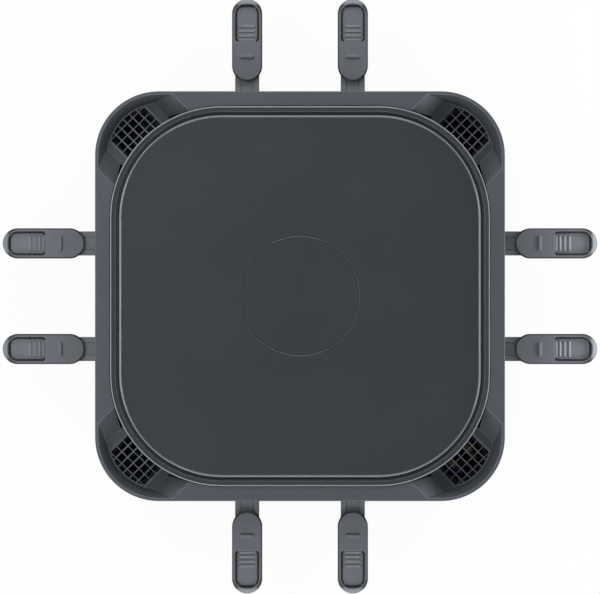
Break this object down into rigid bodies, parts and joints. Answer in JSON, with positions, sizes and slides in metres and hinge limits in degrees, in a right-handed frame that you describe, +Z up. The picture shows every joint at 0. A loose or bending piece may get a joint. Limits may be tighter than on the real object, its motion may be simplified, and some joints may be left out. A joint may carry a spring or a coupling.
{
  "type": "raclette grill",
  "caption": "Square raclette grill: a lipped grill plate in a moulded frame with lattice corner scoops, over a heated bay of small pans with slide-out handles.",
  "frame": {"origin": "on the surface it stands on, under the middle of the plate", "axes": "+Z up, -Y towards the knob, +X to the right"},
  "size_m": [0.6, 0.6, 0.1195],
  "materials": {
    "moulded_shell": "fine satin moulding",
    "grid_moulding": "fine satin moulding",
    "plate_coating": "dark non-stick coating on a cast plate",
    "pan_coating": "dark non-stick coating on sheet steel",
    "neck_steel": "dark coated strip",
    "grip_moulding": "satin moulding",
    "deck_enamel": "dark enamel",
    "bright_sheet": "rolled sheet",
    "element_tube": "heat-tinted tube",
    "bush_ceramic": "unglazed",
    "contact_brass": "bright",
    "inner_moulding": "plain moulding",
    "knob_moulding": "satin moulding",
    "dial_print": "ring with plain marks",
    "lens_red": "clear red lens",
    "lamp_glass": "small lamp",
    "zinc_screw": "zinc plated",
    "foot_rubber": "soft rubber",
    "lead_brown": "sheathed lead",
    "lead_blue": "sheathed lead",
    "lead_green": "sheathed lead"
  },
  "bodies": {
    "base": {"base_shell": "moulded_shell", "column_back_left": "moulded_shell", "column_back_right": "moulded_shell", "column_front_left": "moulded_shell", "column_front_right": "moulded_shell", "dial_ring": "dial_print", "element_bushes": "bush_ceramic", "element_clips": "bright_sheet", "element_supports": "bright_sheet", "element_terminals": "contact_brass", "feet": "foot_rubber", "heat_shield": "bright_sheet", "heating_element": "element_tube", "inlet_pins": "contact_brass", "inlet_screws": "zinc_screw", "inner_screws": "zinc_screw", "pan_deck": "deck_enamel", "pilot_lamp": "lamp_glass", "pilot_lens": "lens_red", "power_inlet": "inner_moulding", "terminal_block": "inner_moulding", "thermal_cutout": "bright_sheet", "thermostat": "inner_moulding", "tie_screws": "zinc_screw", "top_frame": "moulded_shell", "vent_grid_back_left": "grid_moulding", "vent_grid_back_right": "grid_moulding", "vent_grid_front_left": "grid_moulding", "vent_grid_front_right": "grid_moulding", "wiring_earth": "lead_green", "wiring_live": "lead_brown", "wiring_neutral": "lead_blue"},
    "plate": {"grill_plate": "plate_coating"},
    "control": {"knob": "knob_moulding", "knob_shaft": "zinc_screw"},
    "pan_1": {"pan_dish_1": "pan_coating", "pan_neck_1": "neck_steel", "pan_grip_1": "grip_moulding"},
    "pan_2": {"pan_dish_2": "pan_coating", "pan_neck_2": "neck_steel", "pan_grip_2": "grip_moulding"},
    "pan_3": {"pan_dish_3": "pan_coating", "pan_neck_3": "neck_steel", "pan_grip_3": "grip_moulding"},
    "pan_4": {"pan_dish_4": "pan_coating", "pan_neck_4": "neck_steel", "pan_grip_4": "grip_moulding"},
    "pan_5": {"pan_dish_5": "pan_coating", "pan_neck_5": "neck_steel", "pan_grip_5": "grip_moulding"},
    "pan_6": {"pan_dish_6": "pan_coating", "pan_neck_6": "neck_steel", "pan_grip_6": "grip_moulding"},
    "pan_7": {"pan_dish_7": "pan_coating", "pan_neck_7": "neck_steel", "pan_grip_7": "grip_moulding"},
    "pan_8": {"pan_dish_8": "pan_coating", "pan_neck_8": "neck_steel", "pan_grip_8": "grip_moulding"}
  },
  "joints": [
    {"name": "plate_lift", "type": "slide", "parent": "base", "child": "plate", "axis": [0, 0, 1], "range_m": [0, 0.06]},
    {"name": "knob_turn", "type": "hinge", "parent": "base", "child": "control", "pos_m": [0, -0.19, 0.0248], "axis": [0, 1, 0], "range_deg": [0, 270]},
    {"name": "pan_1_slide", "type": "slide", "parent": "base", "child": "pan_1", "axis": [1, 0, 0], "range_m": [0, 0.115]},
    {"name": "pan_2_slide", "type": "slide", "parent": "base", "child": "pan_2", "axis": [1, 0, 0], "range_m": [0, 0.115]},
    {"name": "pan_3_slide", "type": "slide", "parent": "base", "child": "pan_3", "axis": [0, 1, 0], "range_m": [0, 0.115]},
    {"name": "pan_4_slide", "type": "slide", "parent": "base", "child": "pan_4", "axis": [0, 1, 0], "range_m": [0, 0.115]},
    {"name": "pan_5_slide", "type": "slide", "parent": "base", "child": "pan_5", "axis": [-1, 0, 0], "range_m": [0, 0.115]},
    {"name": "pan_6_slide", "type": "slide", "parent": "base", "child": "pan_6", "axis": [-1, 0, 0], "range_m": [0, 0.115]},
    {"name": "pan_7_slide", "type": "slide", "parent": "base", "child": "pan_7", "axis": [0, -1, 0], "range_m": [0, 0.115]},
    {"name": "pan_8_slide", "type": "slide", "parent": "base", "child": "pan_8", "axis": [0, -1, 0], "range_m": [0, 0.115]}
  ]
}
